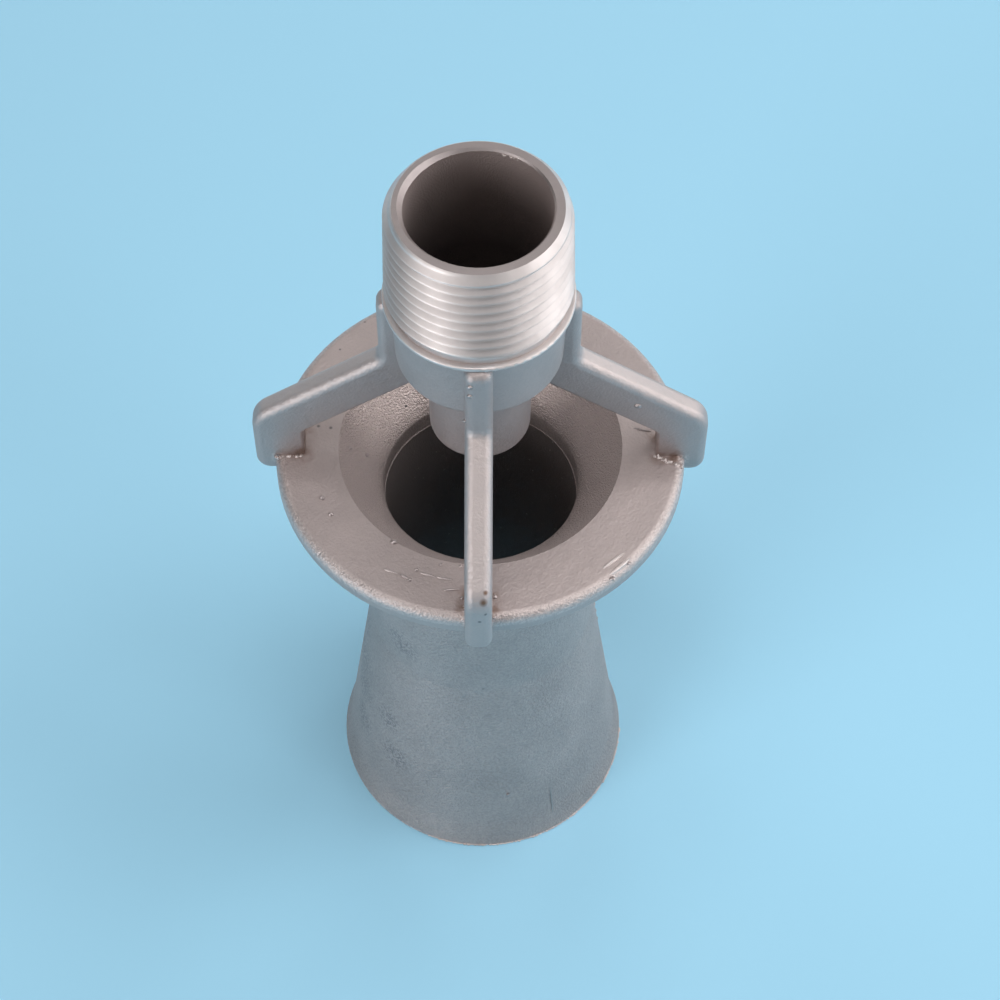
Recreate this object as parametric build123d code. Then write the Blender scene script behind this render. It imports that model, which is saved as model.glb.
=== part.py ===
# Tank mixing eductor, one stainless steel casting.
# A threaded nozzle is held over a flanged bell mouth by four ribs. Below the
# bell mouth are a straight throat and a conical diffuser, and the part stands
# on the diffuser's outlet. Origin at the centre of the outlet face, +Z up the
# axis, millimetres.

import os
from math import atan2, cos, radians, tan

from build123d import *

# Inlet end of the nozzle, sized round a 3/4 inch pipe thread of 14 turns to the inch
thread_radius = 13.22  # gauge radius of the thread, and of its plain blank
thread_length = 17.0
thread_wall = 2.95  # from the thread's radius to the bore
thread_chamfer = 1.5  # at the inlet face
relief_depth = 0.5  # shallow groove that ends the thread
relief_height = 1.0
bore_chamfer = 0.25  # inside the inlet face
collar_lip = 0.46  # thin ring that stands out past the thread
collar_height = 0.8
collar_edge_radius = 0.3

# Nozzle body, its neck and the jet tip
body_step = 0.57  # body's top, inside the thread's radius
body_draft = 0.45  # the body narrows by this towards the neck
body_height = 11.4
body_edge_radius = 0.7
neck_angle = 45.0  # between the neck's cone and the axis
neck_wall = 2.9
tip_length = 13.8
tip_wall = 2.8
tip_draft = 0.15
tip_edge_radius = 1.1
orifice_radius = 4.75
tip_gap = 6.8  # jet tip above the flange's top face

# Diffuser and throat
outlet_radius = 24.4  # outside of the cone, carried down to the outlet face
outlet_flare = 0.65  # the foot stands out this far past the cone
outlet_flare_height = 6.0
outlet_flare_blend = 15.0  # rounding where the flare leaves the cone
outlet_edge_chamfer = 0.2
diffuser_height = 44.5
throat_radius = 15.5
throat_height = 31.2
diffuser_wall = 3.0
land_step = 0.4  # the short land above the throat is this much narrower
land_height = 3.8

# Bell mouth and flange
bell_height = 9.0
bell_flare = 6.6  # from the land's radius to the bell's edge
bell_wall = 3.0
bell_throat_radius = 6.0  # rounding where the bell meets the land
flange_radius = 31.3
flange_thickness = 3.8
flange_top_edge_radius = 1.5
flange_under_edge_radius = 0.9
underside_radius = 3.0  # rounding between throat, bell and flange, outside
cone_blend_radius = 12.0  # where the cone runs into the straight throat

# Ribs
rib_count = 4
rib_thickness = 4.0
rib_edge_radius = 1.4
rib_inner_edge_radius = 0.5
rib_stand_out = 1.9  # upright part of a rib, past the body's top
rib_top_radius = 1.6
rib_upright_height = 13.1  # from the collar down to the bend
rib_bend_radius = 2.0
arm_depth = 6.8
leg_overhang = 3.0  # leg's outer face, past the flange's rim
leg_inset = 4.6  # leg's inner face, inside the flange's rim
leg_height = 8.7  # flange's top face to the corner of arm and leg
leg_corner_radius = 5.0
leg_crook_radius = 1.5
foot_drop = 0.3  # foot's end below the flange's underside
foot_radius = 2.2

edge_tolerance = 0.05  # for picking a rib's edges by their place

# Heights up the axis
throat_top_z = diffuser_height + throat_height
bell_foot_z = throat_top_z + land_height
flange_top_z = bell_foot_z + bell_height
flange_under_z = flange_top_z - flange_thickness
tip_z = flange_top_z + tip_gap
neck_z = tip_z + tip_length

# Radii of the nozzle
bore_radius = thread_radius - thread_wall
body_top_radius = thread_radius - body_step
body_foot_radius = body_top_radius - body_draft
tip_radius = orifice_radius + tip_wall
tip_root_radius = tip_radius + tip_draft

# Radii of the throat
throat_outer_radius = throat_radius + diffuser_wall
land_radius = throat_radius - land_step

# The neck's height follows from its cone
neck_slope = tan(radians(neck_angle))
body_z = neck_z + (body_foot_radius - tip_root_radius) / neck_slope
collar_z = body_z + body_height
relief_z = collar_z + collar_height
thread_z = relief_z + relief_height
inlet_z = thread_z + thread_length


def turned(*corners):
    # Solid turned about the axis, from corners given as radius, height and rounding.
    points = [(radius, height) for radius, height, rounding in corners]
    roundings = [rounding for radius, height, rounding in corners]
    outline = FilletPolyline(*points, radius=roundings, close=True)
    return revolve(Plane.XZ * make_face(outline), Axis.Z)


def nozzle_outside():
    collar_radius = thread_radius + collar_lip
    relief_radius = thread_radius - relief_depth
    chamfer_z = inlet_z - thread_chamfer
    return turned(
        (0, tip_z, 0),
        (tip_radius, tip_z, tip_edge_radius),
        (tip_root_radius, neck_z, 0),
        (body_foot_radius, body_z, body_edge_radius),
        (body_top_radius, collar_z, 0),
        (collar_radius, collar_z, collar_edge_radius),
        (collar_radius, relief_z, collar_edge_radius),
        (relief_radius, relief_z, 0),
        (relief_radius, thread_z, 0),
        (thread_radius, thread_z, 0),
        (thread_radius, chamfer_z, 0),
        (thread_radius - thread_chamfer, inlet_z, 0),
        (0, inlet_z, 0),
    )


def nozzle_passage():
    # Bore, a contraction that keeps the neck's wall, and the straight orifice.
    wall_across = neck_wall / cos(radians(neck_angle))
    narrow_z = neck_z + (orifice_radius - tip_root_radius + wall_across) / neck_slope
    wide_z = neck_z + (bore_radius - tip_root_radius + wall_across) / neck_slope
    return turned(
        (0, tip_z, 0),
        (orifice_radius, tip_z, 0),
        (orifice_radius, narrow_z, 0),
        (bore_radius, wide_z, 0),
        (bore_radius, inlet_z - bore_chamfer, 0),
        (bore_radius + bore_chamfer, inlet_z, 0),
        (0, inlet_z, 0),
    )


def diffuser_outside():
    # The foot flares out from the cone's own line
    cone_slope = (outlet_radius - throat_outer_radius) / diffuser_height
    flare_top_radius = outlet_radius - cone_slope * outlet_flare_height
    foot_outer_radius = outlet_radius + outlet_flare
    chamfer_slope = (foot_outer_radius - flare_top_radius) / outlet_flare_height
    chamfer_radius = foot_outer_radius - chamfer_slope * outlet_edge_chamfer
    # The bell's outside runs beside its inside, one wall away
    bell_slope = bell_flare / bell_height
    bell_offset = bell_wall / cos(atan2(bell_flare, bell_height))
    bell_start_z = bell_foot_z + (throat_outer_radius - land_radius - bell_offset) / bell_slope
    bell_end_radius = land_radius + bell_offset + bell_slope * (flange_under_z - bell_foot_z)
    return turned(
        (0, 0, 0),
        (foot_outer_radius - outlet_edge_chamfer, 0, 0),
        (chamfer_radius, outlet_edge_chamfer, 0),
        (flare_top_radius, outlet_flare_height, outlet_flare_blend),
        (throat_outer_radius, diffuser_height, cone_blend_radius),
        (throat_outer_radius, bell_start_z, underside_radius),
        (bell_end_radius, flange_under_z, underside_radius),
        (flange_radius, flange_under_z, flange_under_edge_radius),
        (flange_radius, flange_top_z, flange_top_edge_radius),
        (0, flange_top_z, 0),
    )


def diffuser_passage():
    return turned(
        (0, 0, 0),
        (outlet_radius - diffuser_wall, 0, 0),
        (throat_radius, diffuser_height, cone_blend_radius),
        (throat_radius, throat_top_z, 0),
        (land_radius, throat_top_z, 0),
        (land_radius, bell_foot_z, bell_throat_radius),
        (land_radius + bell_flare, flange_top_z, 0),
        (0, flange_top_z, 0),
    )


def rib():
    # One rib along +X: an upright on the body, a sloping arm and a leg that
    # stands on the flange and hooks over its rim.
    rib_radius = body_top_radius + rib_stand_out
    bend_z = collar_z - rib_upright_height
    leg_outer = flange_radius + leg_overhang
    leg_inner = flange_radius - leg_inset
    corner_z = flange_top_z + leg_height
    foot_z = flange_under_z - foot_drop
    slope = (bend_z - corner_z) / (leg_outer - rib_radius)
    drop = arm_depth / cos(atan2(bend_z - corner_z, leg_outer - rib_radius))
    crook_z = corner_z + slope * (leg_outer - leg_inner) - drop
    root_radius = orifice_radius
    root_z = corner_z + slope * (leg_outer - root_radius) - drop
    outline = FilletPolyline(
        (root_radius, collar_z),
        (rib_radius, collar_z),
        (rib_radius, bend_z),
        (leg_outer, corner_z),
        (leg_outer, foot_z),
        (leg_inner, foot_z),
        (leg_inner, crook_z),
        (root_radius, root_z),
        radius=[0, rib_top_radius, rib_bend_radius, leg_corner_radius, foot_radius, 0, leg_crook_radius, 0],
        close=True,
    )
    plate = extrude(Plane.XZ * make_face(outline), rib_thickness / 2, both=True)

    def side_edges(inner):
        # The inner edges run under the arm and down the leg's face towards the axis
        chosen = []
        for edge in plate.edges():
            point = edge.center()
            middle_z = corner_z + slope * (leg_outer - point.X) - drop / 2
            on_side = abs(point.Y) > rib_thickness / 4
            past_root = point.X > root_radius + edge_tolerance
            is_inner = point.Z < middle_z and point.X < leg_inner + edge_tolerance
            if on_side and past_root and is_inner == inner:
                chosen.append(edge)
        return chosen

    largest_radius = rib_thickness * 0.45
    plate = fillet(side_edges(inner=False), min(rib_edge_radius, largest_radius))
    plate = fillet(side_edges(inner=True), min(rib_inner_edge_radius, largest_radius))
    return plate


def casting():
    body = diffuser_outside() + nozzle_outside()
    for turn in range(rib_count):
        body += Rot(0, 0, 360 / rib_count * turn) * rib()
    return body - diffuser_passage() - nozzle_passage()


os.makedirs("parts", exist_ok=True)
export_step(casting(), "parts/eductor_casting.step")
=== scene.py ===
from math import cos, hypot, radians, sin, tau
from random import Random

import bmesh
import bpy
from mathutils import Matrix, Vector


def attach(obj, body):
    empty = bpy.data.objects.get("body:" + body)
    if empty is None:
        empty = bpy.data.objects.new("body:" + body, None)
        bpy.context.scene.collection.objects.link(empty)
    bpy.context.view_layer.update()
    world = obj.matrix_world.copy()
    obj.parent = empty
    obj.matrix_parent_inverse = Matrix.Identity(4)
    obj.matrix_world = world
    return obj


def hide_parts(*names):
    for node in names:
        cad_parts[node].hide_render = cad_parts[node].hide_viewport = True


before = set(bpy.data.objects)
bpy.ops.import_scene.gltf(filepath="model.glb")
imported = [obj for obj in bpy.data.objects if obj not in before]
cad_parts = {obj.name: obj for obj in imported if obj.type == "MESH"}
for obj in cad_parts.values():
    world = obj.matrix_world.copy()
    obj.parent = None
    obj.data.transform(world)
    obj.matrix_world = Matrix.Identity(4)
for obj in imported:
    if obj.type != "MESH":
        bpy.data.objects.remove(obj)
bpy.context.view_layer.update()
mm = 0.001


# The helpers come first, then each finish and each piece with its own values


def linkPiece(name, mesh, materials):
    piece = bpy.data.objects.new(name, mesh)
    for material in materials:
        piece.data.materials.append(material)
    bpy.context.scene.collection.objects.link(piece)
    return piece


def radiusOf(point):
    return hypot(point.x, point.y)


def setRadius(point, radius):
    scale = radius / radiusOf(point)
    point.x *= scale
    point.y *= scale


def shadeByAngle(mesh, angle):
    # smooth faces, with the edges past the angle kept sharp
    for face in mesh.faces:
        face.smooth = True
    for edge in mesh.edges:
        if len(edge.link_faces) == 2:
            edge.smooth = edge.calc_face_angle(0) < radians(angle)


def newMaterial(name):
    material = bpy.data.materials.new(name)
    material.use_nodes = True
    nodes = material.node_tree.nodes
    return material, nodes, material.node_tree.links, nodes["Principled BSDF"]


def fillSocket(links, value, socket):
    # value is a socket, a colour or place, or a number
    if isinstance(value, bpy.types.NodeSocket):
        links.new(value, socket)
    elif isinstance(value, tuple) and socket.type == "RGBA":
        socket.default_value = (*value, 1)
    else:
        socket.default_value = value


def noiseNode(nodes, links, place, scale, detail, roughness=0.5):
    noise = nodes.new("ShaderNodeTexNoise")
    noise.inputs["Scale"].default_value = scale
    noise.inputs["Detail"].default_value = detail
    noise.inputs["Roughness"].default_value = roughness
    links.new(place, noise.inputs["Vector"])
    return noise.outputs["Fac"]


def rangeNode(nodes, links, value, low, high, toLow, toHigh):
    ranged = nodes.new("ShaderNodeMapRange")
    for name, number in (("From Min", low), ("From Max", high), ("To Min", toLow), ("To Max", toHigh)):
        ranged.inputs[name].default_value = number
    links.new(value, ranged.inputs["Value"])
    return ranged.outputs["Result"]


def mixNode(nodes, links, factor, first, second):
    # a Mix node's colours are its inputs 6 and 7, and the mixed colour is its output 2
    mix = nodes.new("ShaderNodeMix")
    mix.data_type = "RGBA"
    for value, index in ((factor, 0), (first, 6), (second, 7)):
        fillSocket(links, value, mix.inputs[index])
    return mix.outputs[2]


def mathNode(nodes, links, operation, *values):
    node = nodes.new("ShaderNodeMath")
    node.operation = operation
    for index, value in enumerate(values):
        fillSocket(links, value, node.inputs[index])
    return node.outputs[0]


def vectorNode(nodes, links, operation, *values):
    node = nodes.new("ShaderNodeVectorMath")
    node.operation = operation
    for index, value in enumerate(values):
        fillSocket(links, value, node.inputs[index])
    return node


def bumpNode(nodes, links, height, distance, strength, below=None):
    bump = nodes.new("ShaderNodeBump")
    bump.inputs["Distance"].default_value = distance
    fillSocket(links, strength, bump.inputs["Strength"])
    links.new(height, bump.inputs["Height"])
    if below is not None:
        links.new(below, bump.inputs["Normal"])
    return bump.outputs["Normal"]


def objectPlace(nodes):
    return nodes.new("ShaderNodeTexCoord").outputs["Object"]


def axisRadius(nodes, links, place):
    # distance from the part's axis, and height
    parts = nodes.new("ShaderNodeSeparateXYZ")
    links.new(place, parts.inputs[0])
    flat = vectorNode(nodes, links, "MULTIPLY", place, (1, 1, 0)).outputs["Vector"]
    return vectorNode(nodes, links, "LENGTH", flat).outputs["Value"], parts.outputs["Z"]


def between(nodes, links, value, low, high, soft):
    # 1 where the value lies between low and high, fading over soft
    rising = rangeNode(nodes, links, value, low - soft, low, 0, 1)
    falling = rangeNode(nodes, links, value, high, high + soft, 1, 0)
    return mathNode(nodes, links, "MULTIPLY", rising, falling)


def ringMask(nodes, links, radius, height, radii, heights):
    # 1 in a ring round the axis, its radii and heights each given as low, high and soft
    return mathNode(
        nodes, links, "MULTIPLY",
        between(nodes, links, radius, *radii),
        between(nodes, links, height, *heights),
    )


spotCore = 0.35  # share of a spot's radius that is covered before it fades


def spotMask(nodes, links, place, spots):
    # 1 in each spot's core, fading to 0 at its radius
    total = None
    for centre, radius in spots:
        point = tuple(value * mm for value in centre)
        away = vectorNode(nodes, links, "DISTANCE", place, point).outputs["Value"]
        spot = rangeNode(nodes, links, away, spotCore * radius * mm, radius * mm, 1, 0)
        total = spot if total is None else mathNode(nodes, links, "MAXIMUM", total, spot)
    return total


# The blasted surface of the casting, for both of its finishes
castSurface = {
    "grainScale": 2400,
    "pebbleScale": 3500,
    "pebbleRange": (0.1, 0.8),
    "waveScale": 240,
    "detail": 2,  # of the grain, the waves and the specks
    "toneScale": 85,
    "toneDetail": 3,
    "toneRange": (0.35, 0.65),
    "speckScale": 1500,
    "speckRoughness": 0.6,
    "speckRange": (0.70, 0.78),
}


def castSurfaceGroup():
    values = castSurface
    group = bpy.data.node_groups.new("castSurface", "ShaderNodeTree")
    for name in ("Grain", "Pebble", "Wave", "Tone", "Specks"):
        group.interface.new_socket(name=name, in_out="OUTPUT", socket_type="NodeSocketFloat")
    nodes, links = group.nodes, group.links
    place = objectPlace(nodes)
    out = nodes.new("NodeGroupOutput")
    grain = noiseNode(nodes, links, place, values["grainScale"], values["detail"])
    links.new(grain, out.inputs["Grain"])
    pebble = nodes.new("ShaderNodeTexVoronoi")
    pebble.inputs["Scale"].default_value = values["pebbleScale"]
    links.new(place, pebble.inputs["Vector"])
    domes = rangeNode(nodes, links, pebble.outputs["Distance"], *values["pebbleRange"], 1, 0)
    links.new(domes, out.inputs["Pebble"])
    wave = noiseNode(nodes, links, place, values["waveScale"], values["detail"])
    links.new(wave, out.inputs["Wave"])
    tone = noiseNode(nodes, links, place, values["toneScale"], values["toneDetail"])
    links.new(rangeNode(nodes, links, tone, *values["toneRange"], 0, 1), out.inputs["Tone"])
    roughness = values["speckRoughness"]
    specks = noiseNode(nodes, links, place, values["speckScale"], values["detail"], roughness)
    links.new(rangeNode(nodes, links, specks, *values["speckRange"], 0, 1), out.inputs["Specks"])
    return group


surfaceGroup = castSurfaceGroup()


def surfaceNode(nodes):
    surface = nodes.new("ShaderNodeGroup")
    surface.node_tree = surfaceGroup
    return surface.outputs


# Blasted stainless steel casting, with oxide left where the legs meet the flange
castFinish = {
    "colour": (0.50, 0.43, 0.415),
    "toneColour": (0.41, 0.355, 0.345),
    "grainContrast": (0.36, 0.14),  # on the cone, and above it
    "speckColour": (0.36, 0.31, 0.30),
    "brownColour": (0.24, 0.15, 0.11),
    "patchColour": (0.20, 0.19, 0.20),
    # the colour of bright grains, and also of the painted highlight on the flange's rim and the outlet's
    # foot
    "brightGrainAndHighlightColour": (0.64, 0.56, 0.54),
    "darkColour": (0.22, 0.20, 0.20),
    "roughness": (0.54, 0.64),
    "grainDepth": 0.20 * mm,
    "coneGrain": 1.0,
    "otherGrain": 0.4,
    "coneTop": (74 * mm, 84 * mm),
    "pebbleDepth": 0.15 * mm,
    "conePebble": 0.6,
    "rimPebble": 0.4,
    "otherPebble": 0.05,
    "upperColour": (0.57, 0.49, 0.475),  # above the cone
    "upperShare": 0.45,
    # the colour of the painted highlight on the bell's wall
    "bellHighlightColour": (0.86, 0.75, 0.72),
    # the colour of the painted highlight on the ribs' arm tops
    "ribTopHighlightColour": (0.66, 0.58, 0.56),
    "waveDepth": 0.30 * mm,
    "waveStrength": 0.5,
    # stretches of the casting, each from, to and how softly it ends
    "bellRadii": (14.0 * mm, 21.5 * mm, 0.2 * mm),
    "bellHeights": (79.0 * mm, 88.3 * mm, 0.5 * mm),
    "rimRadii": (30.4 * mm, 31.6 * mm, 0.5 * mm),
    "rimHeights": (86.8 * mm, 88.6 * mm, 0.4 * mm),
    "footHeights": (-0.1 * mm, 0.35 * mm, 0.25 * mm),
    # where and how strongly the ribs' arm tops get their painted highlight
    "armHeights": (92 * mm, 118 * mm, 2 * mm),
    "armFacing": (0.4, 0.8),  # how squarely a face looks up
    "armHighlightShare": 0.65,
    # the stretch of the noise that each effect takes, and how strong it makes it
    "grainRange": (0.35, 0.65),
    "roughRange": (0.3, 0.7),
    "wearAndHighlightRange": (0.4, 0.6),
    "wearAndHighlightShare": (0.2, 0.9),
    "pitRange": (0.42, 0.54),
    "pitShare": 0.55,
    "raggedScale": 450,
    "raggedDetail": 3,
    "raggedRange": (0.38, 0.62),
    "raggedShare": (0.1, 0.75),
    # place and radius of dark stippled patches on the cone, and of single specks
    "patches": (
        ((-19.7, 0.4, 37.4), 6.0),
        ((-20.2, -2.8, 30.6), 6.0),
        ((-20.5, -5.2, 24.4), 5.0),
        ((-20.8, -7.9, 16.3), 4.0),
        ((-15.9, -13.7, 25.7), 3.6),
        ((-15.1, -16.2, 17.2), 4.0),
        ((-12.4, -12.6, 50.9), 4.5),
    ),
    "specks": (
        ((0.36, -18.35, 45.2), 0.35),
        ((4.6, -22.0, 14.0), 0.4),
        ((1.1, -34.3, 95.0), 0.35),
        ((0.2, -34.3, 93.1), 0.35),
        ((-11.9, 12.0, 81.9), 0.3),
        ((-22.2, 18.1, 88.5), 0.25),
        ((-18.5, 23.6, 88.5), 0.25),
        ((-24.9, 3.3, 88.5), 0.35),
        ((-23.0, 3.0, 88.5), 0.35),
    ),
    # painted highlight: stretches of the bell's wall painted pale where the light falls on it
    "bellHighlight": (
        ((-13.0, 13.5, 85.5), 13.0),
        ((8.0, 17.0, 85.5), 9.0),
    ),
    # rust spots on the front rib
    "rust": (
        ((1.1, -32.7, 98.4), 0.5),
        ((0.8, -33.8, 97.3), 0.8),
    ),
    # oxide at the legs, given for the leg on the X axis and mirrored to all four
    "oxide": (
        ((27.2, 1.9, 89.2), 2.4),
        ((29.5, 2.1, 88.6), 1.8),
        ((26.8, 0.6, 90.6), 2.0),
    ),
}


def legPlace(nodes, links, place):
    # folds all four legs onto the one on the X axis
    parts = nodes.new("ShaderNodeSeparateXYZ")
    links.new(vectorNode(nodes, links, "ABSOLUTE", place).outputs["Vector"], parts.inputs[0])
    folded = nodes.new("ShaderNodeCombineXYZ")
    links.new(mathNode(nodes, links, "MAXIMUM", parts.outputs["X"], parts.outputs["Y"]), folded.inputs["X"])
    links.new(mathNode(nodes, links, "MINIMUM", parts.outputs["X"], parts.outputs["Y"]), folded.inputs["Y"])
    links.new(parts.outputs["Z"], folded.inputs["Z"])
    return folded.outputs[0]


def castMaterial():
    values = castFinish
    material, nodes, links, shader = newMaterial("castSteel")
    place = objectPlace(nodes)
    surface = surfaceNode(nodes)
    radius, height = axisRadius(nodes, links, place)

    colour = mixNode(nodes, links, surface["Tone"], values["colour"], values["toneColour"])
    grained = rangeNode(nodes, links, surface["Grain"], *values["grainRange"], 0, 1)
    grained = mixNode(nodes, links, grained, values["speckColour"], values["brightGrainAndHighlightColour"])
    above = rangeNode(nodes, links, height, *values["coneTop"], 0, values["upperShare"])
    colour = mixNode(nodes, links, above, colour, values["upperColour"])
    contrast = rangeNode(nodes, links, height, *values["coneTop"], *values["grainContrast"])
    colour = mixNode(nodes, links, contrast, colour, grained)
    inBell = ringMask(nodes, links, radius, height, values["bellRadii"], values["bellHeights"])
    # painted highlight: the bell's wall is painted palest at the back, where the light falls on it
    bellHighlight = mathNode(nodes, links, "MULTIPLY", inBell, spotMask(nodes, links, place, values["bellHighlight"]))
    colour = mixNode(nodes, links, bellHighlight, colour, values["bellHighlightColour"])
    # painted highlight: the up-facing tops of the ribs' arms are painted brighter, where the light from
    # above falls on them
    facing = nodes.new("ShaderNodeSeparateXYZ")
    links.new(nodes.new("ShaderNodeNewGeometry").outputs["Normal"], facing.inputs[0])
    ribTopHighlight = mathNode(
        nodes, links, "MULTIPLY",
        rangeNode(nodes, links, facing.outputs["Z"], *values["armFacing"], 0, values["armHighlightShare"]),
        between(nodes, links, height, *values["armHeights"]),
    )
    colour = mixNode(nodes, links, ribTopHighlight, colour, values["ribTopHighlightColour"])
    # the patches are made of small dark pits
    pits = rangeNode(nodes, links, surface["Grain"], *values["pitRange"], values["pitShare"], 0)
    patches = spotMask(nodes, links, place, values["patches"])
    pits = mathNode(nodes, links, "MULTIPLY", patches, pits)
    colour = mixNode(nodes, links, pits, colour, values["patchColour"])
    specks = spotMask(nodes, links, place, values["specks"])
    colour = mixNode(nodes, links, specks, colour, values["darkColour"])
    rust = spotMask(nodes, links, place, values["rust"])
    colour = mixNode(nodes, links, rust, colour, values["brownColour"])
    oxide = spotMask(nodes, links, legPlace(nodes, links, place), values["oxide"])
    ragged = noiseNode(nodes, links, place, values["raggedScale"], values["raggedDetail"])
    ragged = rangeNode(nodes, links, ragged, *values["raggedRange"], *values["raggedShare"])
    oxide = mathNode(nodes, links, "MULTIPLY", oxide, ragged)
    colour = mixNode(nodes, links, oxide, colour, values["brownColour"])

    # wear and painted highlight: the flange's rounded rim and the outlet's foot are painted bright, partly
    # as wear and partly as a highlight of the light along these edges
    atRim = ringMask(nodes, links, radius, height, values["rimRadii"], values["rimHeights"])
    atFoot = between(nodes, links, height, *values["footHeights"])
    wearAndHighlight = mathNode(nodes, links, "MAXIMUM", atRim, atFoot)
    rimFootNoise = rangeNode(nodes, links, surface["Grain"], *values["wearAndHighlightRange"], *values["wearAndHighlightShare"])
    wearAndHighlight = mathNode(nodes, links, "MULTIPLY", wearAndHighlight, rimFootNoise)
    colour = mixNode(nodes, links, wearAndHighlight, colour, values["brightGrainAndHighlightColour"])
    links.new(colour, shader.inputs["Base Color"])

    rough = rangeNode(nodes, links, surface["Grain"], *values["roughRange"], *values["roughness"])
    links.new(rough, shader.inputs["Roughness"])
    shader.inputs["Metallic"].default_value = 1

    # the bell's wall and the flange's rim are the coarsest
    coarse = mathNode(nodes, links, "MULTIPLY", atRim, values["rimPebble"])
    coarse = mathNode(nodes, links, "MAXIMUM", coarse, inBell)
    pebbles = values["conePebble"], values["otherPebble"]
    around = rangeNode(nodes, links, height, *values["coneTop"], *pebbles)
    coarse = mathNode(nodes, links, "MAXIMUM", coarse, around)
    grainy = rangeNode(nodes, links, height, *values["coneTop"], values["coneGrain"], values["otherGrain"])
    normal = bumpNode(nodes, links, surface["Wave"], values["waveDepth"], values["waveStrength"])
    normal = bumpNode(nodes, links, surface["Pebble"], values["pebbleDepth"], coarse, normal)
    normal = bumpNode(nodes, links, surface["Grain"], values["grainDepth"], grainy, normal)
    links.new(normal, shader.inputs["Normal"])
    return material


# The passages get a darker, duller skin, with painted shade: darkest deep in the bore and lighter towards
# the inlet
passageFinish = {
    # the colour of the painted shade deep in the bore
    "colour": (0.17, 0.145, 0.14),
    "inletColour": (0.60, 0.51, 0.49),
    "throatColour": (0.40, 0.35, 0.34),
    # the colour of the painted glints in the throat
    "throatGlintColour": (0.85, 0.80, 0.78),
    "boreShadeFade": (124 * mm, 142 * mm),
    "throatTop": 80 * mm,
    "roughness": 0.6,
    "pebbleDepth": 0.1 * mm,
    "pebbleStrength": 0.5,
}


def passageMaterial():
    values = passageFinish
    material, nodes, links, shader = newMaterial("passageSteel")
    surface = surfaceNode(nodes)
    height = axisRadius(nodes, links, objectPlace(nodes))[1]
    # painted shade: the bore is painted darker the lower it lies below the inlet
    boreShadeFade = rangeNode(nodes, links, height, *values["boreShadeFade"], 0, 1)
    colour = mixNode(nodes, links, boreShadeFade, values["colour"], values["inletColour"])
    inThroat = mathNode(nodes, links, "LESS_THAN", height, values["throatTop"])
    colour = mixNode(nodes, links, inThroat, colour, values["throatColour"])
    # painted glints: bright specks on the throat's wall stand in for light glinting off its pebbles
    throatGlints = mathNode(nodes, links, "MULTIPLY", surface["Specks"], inThroat)
    colour = mixNode(nodes, links, throatGlints, colour, values["throatGlintColour"])
    links.new(colour, shader.inputs["Base Color"])
    shader.inputs["Roughness"].default_value = values["roughness"]
    shader.inputs["Metallic"].default_value = 1
    normal = bumpNode(nodes, links, surface["Pebble"], values["pebbleDepth"], values["pebbleStrength"])
    links.new(normal, shader.inputs["Normal"])
    return material


# Turned surfaces: fine marks round the axis, for the thread and for the inlet face
turning = {
    "markScale": 2600,
    "markDetail": 2,
    "markStrength": 0.5,
    "smearScale": 260,
    "smearDetail": 3,
    "smearRange": (0.35, 0.65),
    "smearStrength": 0.4,
}


def turningGroup():
    values = turning
    group = bpy.data.node_groups.new("turningMarks", "ShaderNodeTree")
    for name in ("Marks", "Smear"):
        group.interface.new_socket(name=name, in_out="OUTPUT", socket_type="NodeSocketFloat")
    nodes, links = group.nodes, group.links
    place = objectPlace(nodes)
    radius, height = axisRadius(nodes, links, place)
    across = nodes.new("ShaderNodeCombineXYZ")
    links.new(radius, across.inputs["X"])
    links.new(height, across.inputs["Y"])
    out = nodes.new("NodeGroupOutput")
    marks = noiseNode(nodes, links, across.outputs[0], values["markScale"], values["markDetail"])
    links.new(marks, out.inputs["Marks"])
    smear = noiseNode(nodes, links, place, values["smearScale"], values["smearDetail"])
    links.new(smear, out.inputs["Smear"])
    return group


turningMarks = turningGroup()

turnedFinish = {
    "colour": (0.70, 0.63, 0.61),
    "smearColour": (0.63, 0.56, 0.54),
    "roughness": (0.50, 0.57),
    "markDepth": 0.002 * mm,
    "smearDepth": 0.02 * mm,
}

facedFinish = {
    "colour": (0.48, 0.42, 0.41),
    "smearColour": (0.43, 0.375, 0.37),
    "roughness": (0.42, 0.52),
    "markDepth": 0.003 * mm,
    "smearDepth": 0.05 * mm,
}


def turnedMaterial(name, values):
    material, nodes, links, shader = newMaterial(name)
    marks = nodes.new("ShaderNodeGroup")
    marks.node_tree = turningMarks
    smear = rangeNode(nodes, links, marks.outputs["Smear"], *turning["smearRange"], 0, 1)
    colour = mixNode(nodes, links, smear, values["colour"], values["smearColour"])
    links.new(colour, shader.inputs["Base Color"])
    links.new(rangeNode(nodes, links, smear, 0, 1, *values["roughness"]), shader.inputs["Roughness"])
    shader.inputs["Metallic"].default_value = 1
    normal = bumpNode(nodes, links, marks.outputs["Smear"], values["smearDepth"], turning["smearStrength"])
    fine, strength = marks.outputs["Marks"], turning["markStrength"]
    normal = bumpNode(nodes, links, fine, values["markDepth"], strength, normal)
    links.new(normal, shader.inputs["Normal"])
    return material


castSteel = castMaterial()
passageSteel = passageMaterial()
turnedSteel = turnedMaterial("turnedSteel", turnedFinish)
facedSteel = turnedMaterial("facedSteel", facedFinish)
finishes = [castSteel, turnedSteel, passageSteel, facedSteel]
castIndex, turnedIndex, passageIndex, facedIndex = range(len(finishes))
print("finishes made")


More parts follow.
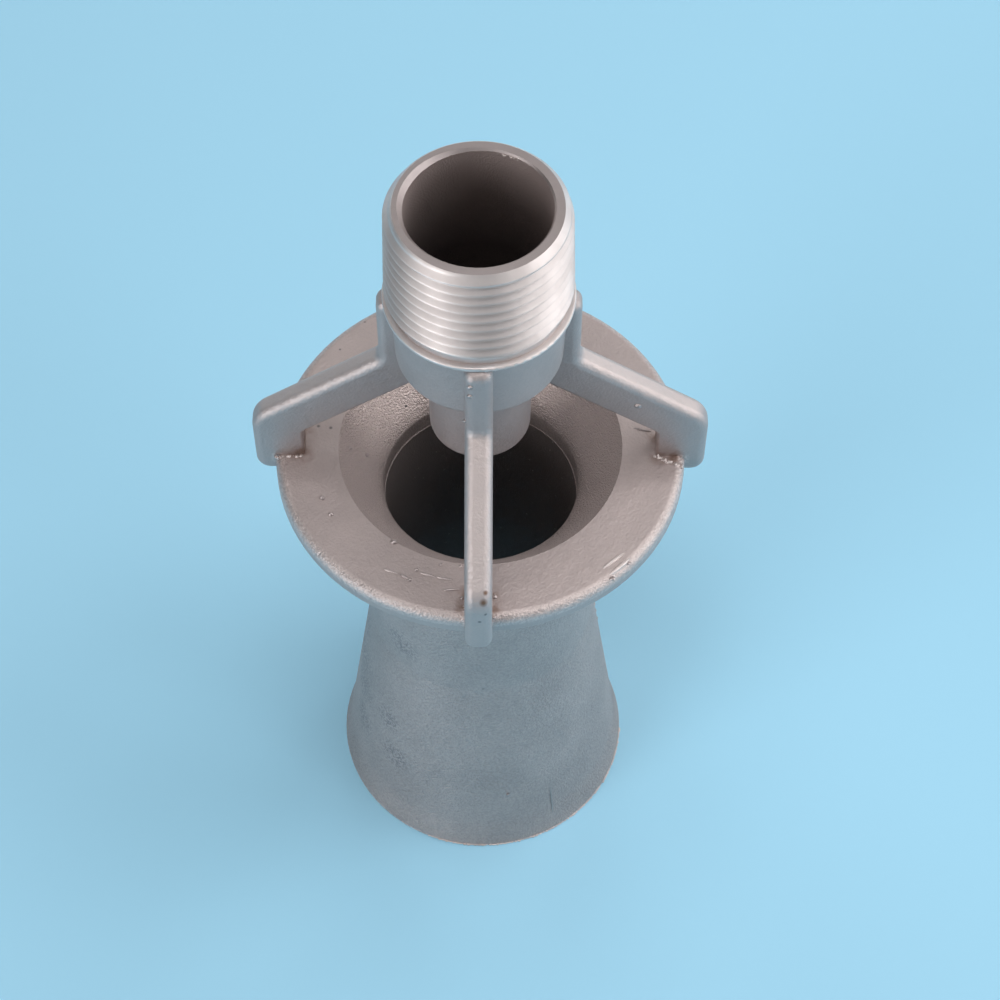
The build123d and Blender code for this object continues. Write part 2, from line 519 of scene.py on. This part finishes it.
# Small lumps and seams that the casting came out of its mould with, in mm. Each
# nodule is a place, the way it faces, its radius and its rise as a share of that.
up = (0, 0, 1)
bellWall = (0.8, 0, 0.6)
roughSpots = {
    "nodules": (
        ((-23.76, -9.98, 88.5), up, 0.46, 0.8),
        ((-22.28, -12.85, 88.5), up, 0.42, 0.8),
        ((-12.70, -17.79, 88.5), up, 0.56, 0.8),
        ((-9.26, -22.65, 88.5), up, 0.36, 0.7),
        ((-10.25, -24.35, 88.5), up, 0.40, 0.6),
        ((-5.71, -21.70, 88.5), up, 0.28, 0.6),
        ((-2.76, -21.95, 88.5), up, 0.28, 0.6),
        ((-2.46, -27.49, 88.5), up, 0.34, 0.8),
        ((2.30, -27.29, 88.5), up, 0.46, 0.8),
        ((2.24, -30.50, 88.1), up, 0.40, 0.6),
        ((19.71, -23.90, 88.3), up, 0.42, 0.5),
        ((22.20, -21.20, 88.3), up, 0.36, 0.5),
        ((-20.07, 0.76, 86.3), bellWall, 0.40, 0.8),
        ((-17.64, 1.71, 83.1), bellWall, 0.40, 0.8),
        ((23.40, -2.0, 101.5), (0, -1, 0), 0.55, 0.8),
        ((-1.14, -14.45, 122.7), (0, -1, 0), 0.48, 0.6),
        ((-1.16, -14.45, 120.6), (0, -1, 0), 0.48, 0.6),
        ((-1.93, -13.6, 113.7), (-1, -0.2, 0), 0.34, 0.8),
        ((0.36, -18.35, 45.8), (0, -1, 0.2), 0.30, 0.6),
        ((4.60, -22.20, 14.4), (0.2, -1, 0.2), 0.30, 0.6),
        ((19.20, 2.8, 37.1), (1, 0, 0), 0.44, 0.5),
        ((19.50, 2.8, 34.9), (1, 0, 0), 0.36, 0.5),
        ((19.85, 2.8, 32.2), (1, 0, 0), 0.40, 0.5),
    ),
    # each ridge is a start, an end, a half width, a rise and a finish
    "ridges": (
        ((18.15, -22.37, 88.45), (21.62, -19.38, 88.45), 0.36, 0.30, turnedIndex),
        ((19.00, -23.55, 88.40), (22.45, -20.35, 88.40), 0.40, 0.30, turnedIndex),
        ((-14.19, -22.45, 88.5), (-11.80, -23.40, 88.5), 0.20, 0.16, facedIndex),
        ((-11.80, -23.30, 88.5), (-10.16, -24.43, 88.5), 0.26, 0.28, facedIndex),
        ((-8.94, -23.03, 88.5), (-6.34, -23.89, 88.5), 0.20, 0.16, facedIndex),
        ((-6.34, -23.89, 88.5), (-3.83, -24.40, 88.5), 0.20, 0.16, facedIndex),
        ((-5.27, -26.16, 88.5), (-2.77, -26.00, 88.5), 0.26, 0.24, facedIndex),
        ((23.41, 3.20, 88.5), (26.31, 2.46, 88.5), 0.20, 0.22, facedIndex),
        ((11.83, -19.22, 13.6), (12.85, -20.92, 0.6), 0.10, 0.06, facedIndex),
    ),
    # chains of beads where a leg meets the flange, and the burr inside the inlet's edge
    "seams": (
        ((-31.1, -2.3, 88.25), (-26.8, -2.3, 88.45), 0.28),
        ((26.7, -1.9, 88.45), (28.6, -3.2, 88.35), 0.34),
        ((28.6, -3.2, 88.35), (30.6, -3.6, 87.95), 0.38),
        ((-1.9, -26.9, 88.5), (-2.2, -30.6, 88.3), 0.16),
        ((2.1, 26.9, 88.5), (2.2, 30.6, 88.3), 0.22),
        ((2.75, 10.0, 143.35), (4.55, 9.3, 143.35), 0.17),
        ((4.55, 9.3, 143.35), (6.65, 8.0, 143.35), 0.17),
    ),
    "beadStep": 0.32,
    "beadScatter": 0.16,
    "beadSizes": (0.6, 1.25),  # smallest and largest share of its radius
    # how far a lump's surface wanders, as a share of its radius, or for ridges and burr in mm
    "beadJitter": 0.16,
    "noduleJitter": 0.1,
    "ridgeJitter": 0.03,
    "burrJitter": 0.02,
    "noduleWidth": 0.85,  # a nodule's second radius, as a share of its first
    # flakes of burr along the outlet's edge, their angles in degrees
    "burrFrom": -112,
    "burrTo": -2,
    "burrStep": 1.5,
    "burrRadius": 24.98,
    "burrHeight": 0.27,
    "burrSize": (0.45, 0.17, 0.18),
    "burrSizes": (0.5, 1.3),  # smallest and largest share of that size
    "burrScatter": 0.05,
    "seed": 7,
}


def scattered(chance, reach):
    return Vector([chance.uniform(-reach, reach) for axis in range(3)])


def addLump(mesh, matrix, chance, jitter, material):
    made = bmesh.ops.create_icosphere(mesh, subdivisions=2, radius=1, matrix=matrix)
    for vert in made["verts"]:
        vert.co += scattered(chance, jitter)
        for face in vert.link_faces:
            face.material_index = material


def lumpMatrix(place, facing, size):
    turn = Vector(facing).to_track_quat("Z", "Y").to_matrix().to_4x4()
    scale = Matrix.Diagonal((*[side * mm for side in size], 1))
    return Matrix.Translation(Vector(place) * mm) @ turn @ scale


def ridgeMatrix(start, end, width, rise):
    along = end - start
    outward = Vector(up) if abs(along.z) < 1 else Vector((start.x, start.y, 0)).normalized()
    side = outward.cross(along).normalized()
    upward = along.normalized().cross(side)
    axes = Matrix((along / 2 * mm, side * width * mm, upward * rise * mm)).transposed().to_4x4()
    return Matrix.Translation((start + end) / 2 * mm) @ axes


def makeRoughSpots():
    values = roughSpots
    chance = Random(values["seed"])
    mesh = bmesh.new()
    for place, facing, radius, rise in values["nodules"]:
        size = (radius, radius * values["noduleWidth"], radius * rise)
        jitter = values["noduleJitter"] * radius * mm
        addLump(mesh, lumpMatrix(place, facing, size), chance, jitter, facedIndex)
    for start, end, width, rise, finish in values["ridges"]:
        matrix = ridgeMatrix(Vector(start), Vector(end), width, rise)
        addLump(mesh, matrix, chance, values["ridgeJitter"] * mm, finish)
    for start, end, radius in values["seams"]:
        first, last = Vector(start), Vector(end)
        count = int((last - first).length / values["beadStep"])
        jitter = values["beadJitter"] * radius * mm
        for step in range(count + 1):
            place = first.lerp(last, step / count) + scattered(chance, values["beadScatter"])
            size = [radius * chance.uniform(*values["beadSizes"]) for axis in range(3)]
            addLump(mesh, lumpMatrix(place, up, size), chance, jitter, turnedIndex)
    for step in range(int((values["burrTo"] - values["burrFrom"]) / values["burrStep"])):
        angle = radians(values["burrFrom"] + step * values["burrStep"])
        outward = Vector((cos(angle), sin(angle), 0))
        scatter = chance.uniform(-values["burrScatter"], values["burrScatter"])
        place = outward * (values["burrRadius"] + scatter)
        place.z = values["burrHeight"]
        size = [side * chance.uniform(*values["burrSizes"]) for side in values["burrSize"]]
        matrix = lumpMatrix(place, outward, size)
        addLump(mesh, matrix, chance, values["burrJitter"] * mm, turnedIndex)
    result = bpy.data.meshes.new("roughSpots")
    mesh.to_mesh(result)
    mesh.free()
    return result


# The casting is a merged copy of the solid with its thread blank drawn in. It takes
# the turned finish from its collar up, the faced one at the inlet and the dull one
# in its passages.
casting = {
    "node": "eductor_casting",
    "blankFoot": 126.8 * mm,
    "inletTop": 143.8 * mm,
    "coreRadius": 11.2 * mm,
    "grooveRadius": 12.72 * mm,
    "collarFoot": 125.0 * mm,
    "boreRadius": 10.3 * mm,
    "tip": 95.3 * mm,
    "landFoot": 75.7 * mm,
    "faceDepth": 0.3 * mm,  # of the faced finish below the inlet's top
    "collarMargin": 0.05 * mm,
    "margin": 0.1 * mm,  # how near a height or radius a vertex counts as on it
    "mergeDistance": 0.001 * mm,
    "sharpAngle": 42,
    # the bore's edge was broken by hand, deepest at one side
    "breakAngle": 160,
    "breakSize": 0.5 * mm,
    "breakReach": 0.4 * mm,
    # the fine lip at the land's lower edge
    "lipRadius": 15.1 * mm,
    "lipSize": 0.09 * mm,
    "lipSides": 6,
    "lipSteps": 96,
}


def castingMaterial(face):
    values = casting
    middle = face.calc_center_median()
    widest = max(radiusOf(vert.co) for vert in face.verts)
    if middle.z > values["inletTop"] - values["faceDepth"]:
        return facedIndex
    if middle.z > values["collarFoot"] - values["collarMargin"] and widest > values["boreRadius"]:
        return turnedIndex
    facesIn = face.normal.dot(Vector((middle.x, middle.y, 0))) < 0
    inBore = middle.z > values["tip"] and widest < values["boreRadius"]
    if facesIn and (inBore or middle.z < values["landFoot"]):
        return passageIndex
    return castIndex


def addLip(mesh):
    values = casting
    tilt = Matrix.Rotation(radians(90), 4, "X")
    place = Matrix.Translation((values["lipRadius"], 0, values["landFoot"])) @ tilt
    sides, size = values["lipSides"], values["lipSize"]
    ring = bmesh.ops.create_circle(mesh, segments=sides, radius=size, matrix=place)
    rim = list({edge for vert in ring["verts"] for edge in vert.link_edges})
    bmesh.ops.spin(
        mesh,
        geom=ring["verts"] + rim,
        axis=(0, 0, 1),
        cent=(0, 0, 0),
        angle=tau,
        steps=values["lipSteps"],
        use_merge=True,
    )


def breakEdge(vert):
    values = casting
    radius = radiusOf(vert.co)
    drop = values["inletTop"] - vert.co.z
    reach = values["breakReach"]
    if drop > reach or radius > values["boreRadius"] + reach:
        return
    angle = radians(values["breakAngle"])
    toSide = Vector((cos(angle), sin(angle), 0))
    share = max(vert.co.dot(toSide) / radius, 0) ** 2
    if drop > values["margin"]:
        vert.co.z -= share * values["breakSize"]
    else:
        setRadius(vert.co, radius + share * values["breakSize"])


def makeCasting():
    values = casting
    mesh = bmesh.new()
    mesh.from_mesh(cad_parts[values["node"]].data)
    bmesh.ops.remove_doubles(mesh, verts=mesh.verts, dist=values["mergeDistance"])
    bmesh.ops.recalc_face_normals(mesh, faces=mesh.faces)
    for face in mesh.faces:
        face.material_index = castingMaterial(face)
    margin = values["margin"]
    for vert in mesh.verts:
        radius = radiusOf(vert.co)
        inBlank = values["blankFoot"] + margin < vert.co.z < values["inletTop"] - margin
        onFoot = abs(vert.co.z - values["blankFoot"]) < margin
        pastGroove = radius > values["grooveRadius"] + margin
        if onFoot and pastGroove or inBlank and radius > values["coreRadius"]:
            setRadius(vert.co, values["coreRadius"])
        breakEdge(vert)
    addLip(mesh)
    mesh.from_mesh(makeRoughSpots())
    shadeByAngle(mesh, values["sharpAngle"])
    result = bpy.data.meshes.new("castEductor")
    mesh.to_mesh(result)
    mesh.free()
    piece = linkPiece("castEductor", result, finishes)
    weighted = piece.modifiers.new("weighted", "WEIGHTED_NORMAL")
    weighted.keep_sharp = True
    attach(piece, "root")
    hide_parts(values["node"])


makeCasting()
print("casting made")


# The inlet's taper pipe thread
thread = {
    "foot": casting["blankFoot"],
    "top": casting["inletTop"],
    "pitch": 25.4 / 14 * mm,
    "depth": 0.80 * mm,
    "footRadius": 13.44 * mm,
    "blend": 0.3 * mm,  # between the turns and what cuts them off
    "grooveRadius": casting["grooveRadius"],
    "taper": 1 / 32,  # of the radius, over the height
    "faceRadius": 11.72 * mm,
    "innerRadius": 11.0 * mm,
    "stepsPerTurn": 144,
    "spareTurns": 3,  # cut off again at the foot and the top
    "startBelow": 1.5,  # pitches below the foot
    "mergeDistance": 0.004 * mm,
    "cutDistance": 0.001 * mm,
    "rimDistance": 0.01 * mm,
    "topDrop": 0.3 * mm,
    "sharpAngle": 45,
    # one pitch of the profile: share of the pitch, share of the depth
    "profile": (
        (0, 0), (0.05, 0.05), (0.10, 0.15), (0.18, 0.33), (0.32, 0.65), (0.40, 0.83), (0.45, 0.94),
        (0.5, 1), (0.55, 0.94), (0.60, 0.83), (0.68, 0.65), (0.82, 0.33), (0.90, 0.15), (0.95, 0.05),
    ),
}


def softLeast(first, second, blend):
    # the lesser of two, rounded where they cross
    near = max(blend - abs(first - second), 0) / blend
    return min(first, second) - near * near * blend / 4


def makeThread():
    values = thread
    pitch = values["pitch"]
    mesh = bmesh.new()
    turns = int((values["top"] - values["foot"]) / pitch) + values["spareTurns"]
    start = values["foot"] - values["startBelow"] * pitch
    points = list(values["profile"]) + [(1, 0)]
    verts = []
    for along, out in points:
        radius = values["footRadius"] - values["depth"] * (1 - out)
        verts.append(mesh.verts.new((radius, 0, start + along * pitch)))
    for lower, upper in zip(verts, verts[1:]):
        mesh.edges.new((lower, upper))
    bmesh.ops.spin(
        mesh,
        geom=mesh.verts[:] + mesh.edges[:],
        axis=(0, 0, 1),
        cent=(0, 0, 0),
        dvec=(0, 0, pitch / values["stepsPerTurn"]),
        angle=tau,
        steps=values["stepsPerTurn"],
    )
    oneTurn = mesh.verts[:] + mesh.edges[:] + mesh.faces[:]
    for turn in range(1, turns):
        copied = bmesh.ops.duplicate(mesh, geom=oneTurn)["geom"]
        verts = [part for part in copied if isinstance(part, bmesh.types.BMVert)]
        bmesh.ops.translate(mesh, vec=(0, 0, turn * pitch), verts=verts)
    bmesh.ops.remove_doubles(mesh, verts=mesh.verts, dist=values["mergeDistance"])
    for height, outward in ((values["foot"], -1), (values["top"], 1)):
        bmesh.ops.bisect_plane(
            mesh,
            geom=mesh.verts[:] + mesh.edges[:] + mesh.faces[:],
            dist=values["cutDistance"],
            plane_co=(0, 0, height),
            plane_no=(0, 0, outward),
            clear_outer=True,
        )
    for vert in mesh.verts:
        rise = vert.co.z - values["foot"]
        tapered = radiusOf(vert.co) - rise * values["taper"]
        chamfered = values["faceRadius"] + values["top"] - vert.co.z
        cutOff = softLeast(tapered, chamfered, values["blend"])
        setRadius(vert.co, softLeast(cutOff, values["grooveRadius"] + rise, values["blend"]))
    # the ends turn in under the groove's wall and the inlet face
    rims = []
    near = values["rimDistance"]
    for height, drop in ((values["foot"], 0), (values["top"], values["topDrop"])):
        rim = [
            edge
            for edge in mesh.edges
            if edge.is_boundary and all(abs(vert.co.z - height) < near for vert in edge.verts)
        ]
        extruded = bmesh.ops.extrude_edge_only(mesh, edges=rim)["geom"]
        for vert in extruded:
            if isinstance(vert, bmesh.types.BMVert):
                setRadius(vert.co, values["innerRadius"])
                vert.co.z = height - drop
        rims += [edge for edge in extruded if isinstance(edge, bmesh.types.BMEdge)]
    bmesh.ops.bridge_loops(mesh, edges=rims)
    bmesh.ops.recalc_face_normals(mesh, faces=mesh.faces)
    shadeByAngle(mesh, values["sharpAngle"])
    result = bpy.data.meshes.new("inletThread")
    mesh.to_mesh(result)
    mesh.free()
    piece = linkPiece("inletThread", result, [turnedSteel])
    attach(piece, "root")


makeThread()
print("thread made")


# Floor, light and camera
studio = {
    "floorSize": 20,
    "floorColour": (0.37, 0.68, 0.87),
    "floorRoughness": 0.9,
    "floorSpecular": 0.1,
    # distances in metres over which the floor past the lamps' reach is filled in
    "farFloor": (0.85, 1.15),
    "worldColour": (0.97, 0.98, 1.0),
    "worldStrength": 0.02,
}


def makeFloor():
    mesh = bmesh.new()
    bmesh.ops.create_grid(mesh, x_segments=1, y_segments=1, size=studio["floorSize"])
    result = bpy.data.meshes.new("floor")
    mesh.to_mesh(result)
    mesh.free()
    material, nodes, links, shader = newMaterial("paleFloor")
    shader.inputs["Base Color"].default_value = (*studio["floorColour"], 1)
    shader.inputs["Roughness"].default_value = studio["floorRoughness"]
    shader.inputs["Specular IOR Level"].default_value = studio["floorSpecular"]
    # past the lamps' reach the floor keeps its colour to the eye, and lights nothing
    away = vectorNode(nodes, links, "LENGTH", objectPlace(nodes)).outputs["Value"]
    filled = rangeNode(nodes, links, away, *studio["farFloor"], 0, 1)
    path = nodes.new("ShaderNodeLightPath").outputs
    seen = mathNode(nodes, links, "MAXIMUM", path["Is Camera Ray"], path["Is Glossy Ray"])
    seen = mathNode(nodes, links, "MAXIMUM", seen, path["Is Transmission Ray"])
    shader.inputs["Emission Color"].default_value = (*studio["floorColour"], 1)
    links.new(mathNode(nodes, links, "MULTIPLY", filled, seen), shader.inputs["Emission Strength"])
    linkPiece("floor", result, [material])


# Soft discs all round the part, wide ones low down and smaller ones above:
# azimuth, elevation, size and power
lamps = {
    "distance": 1.0,
    "target": (0, 0, 80 * mm),
    "places": (
        (225, 15, 0.60, 4.48),
        (315, 15, 0.60, 1.14),
        (0, 15, 0.60, 2.74),
        (45, 15, 0.60, 1.35),
        (90, 15, 0.60, 1.57),
        (135, 15, 0.60, 0.77),
        (210, 35, 0.35, 0.41),
        (330, 35, 0.35, 1.09),
        (20, 35, 0.35, 0.78),
        (0, 55, 0.35, 1.32),
        (45, 55, 0.35, 0.86),
        (90, 55, 0.35, 0.12),
        (135, 55, 0.35, 0.33),
        (200, 75, 0.35, 0.79),
        (270, 75, 0.35, 1.94),
        (340, 75, 0.35, 0.32),
        (90, 75, 0.35, 0.71),
    ),
}


def makeLamp(azimuth, elevation, size, power):
    name = f"lamp_{azimuth}_{elevation}"
    light = bpy.data.lights.new(name, "AREA")
    light.shape = "DISK"
    light.size = size
    light.energy = power
    lamp = bpy.data.objects.new(name, light)
    turn, rise = radians(azimuth), radians(elevation)
    across = cos(rise)
    direction = Vector((across * cos(turn), across * sin(turn), sin(rise)))
    lamp.location = Vector(lamps["target"]) + direction * lamps["distance"]
    lamp.rotation_euler = (-direction).to_track_quat("-Z", "Y").to_euler()
    lamp.visible_camera = False
    bpy.context.scene.collection.objects.link(lamp)


def makeLight():
    world = bpy.data.worlds.new("studio")
    world.use_nodes = True
    background = world.node_tree.nodes["Background"]
    background.inputs["Color"].default_value = (*studio["worldColour"], 1)
    background.inputs["Strength"].default_value = studio["worldStrength"]
    bpy.context.scene.world = world
    for place in lamps["places"]:
        makeLamp(*place)


# The camera stands where the photograph was taken from
view = {
    "place": (3.31 * mm, -210.71 * mm, 388.92 * mm),
    "pitch": 56.279,
    "yaw": -0.078,
    "roll": 0.180,
    "lens": 86.4,
    "sensor": 36,
    "clipStart": 0.01,
}


def makeCamera():
    camera = bpy.data.cameras.new("camera")
    camera.lens = view["lens"]
    camera.sensor_width = view["sensor"]
    camera.clip_start = view["clipStart"]
    cameraObject = bpy.data.objects.new("camera", camera)
    turn = Matrix.Rotation(radians(-view["yaw"]), 4, "Z")
    tilt = Matrix.Rotation(radians(90 - view["pitch"]), 4, "X")
    roll = Matrix.Rotation(radians(view["roll"]), 4, "Z")
    cameraObject.matrix_world = Matrix.Translation(view["place"]) @ turn @ tilt @ roll
    bpy.context.scene.collection.objects.link(cameraObject)
    bpy.context.scene.camera = cameraObject


makeFloor()
makeLight()
makeCamera()
bpy.context.scene.view_settings.view_transform = "Standard"
print("studio made")
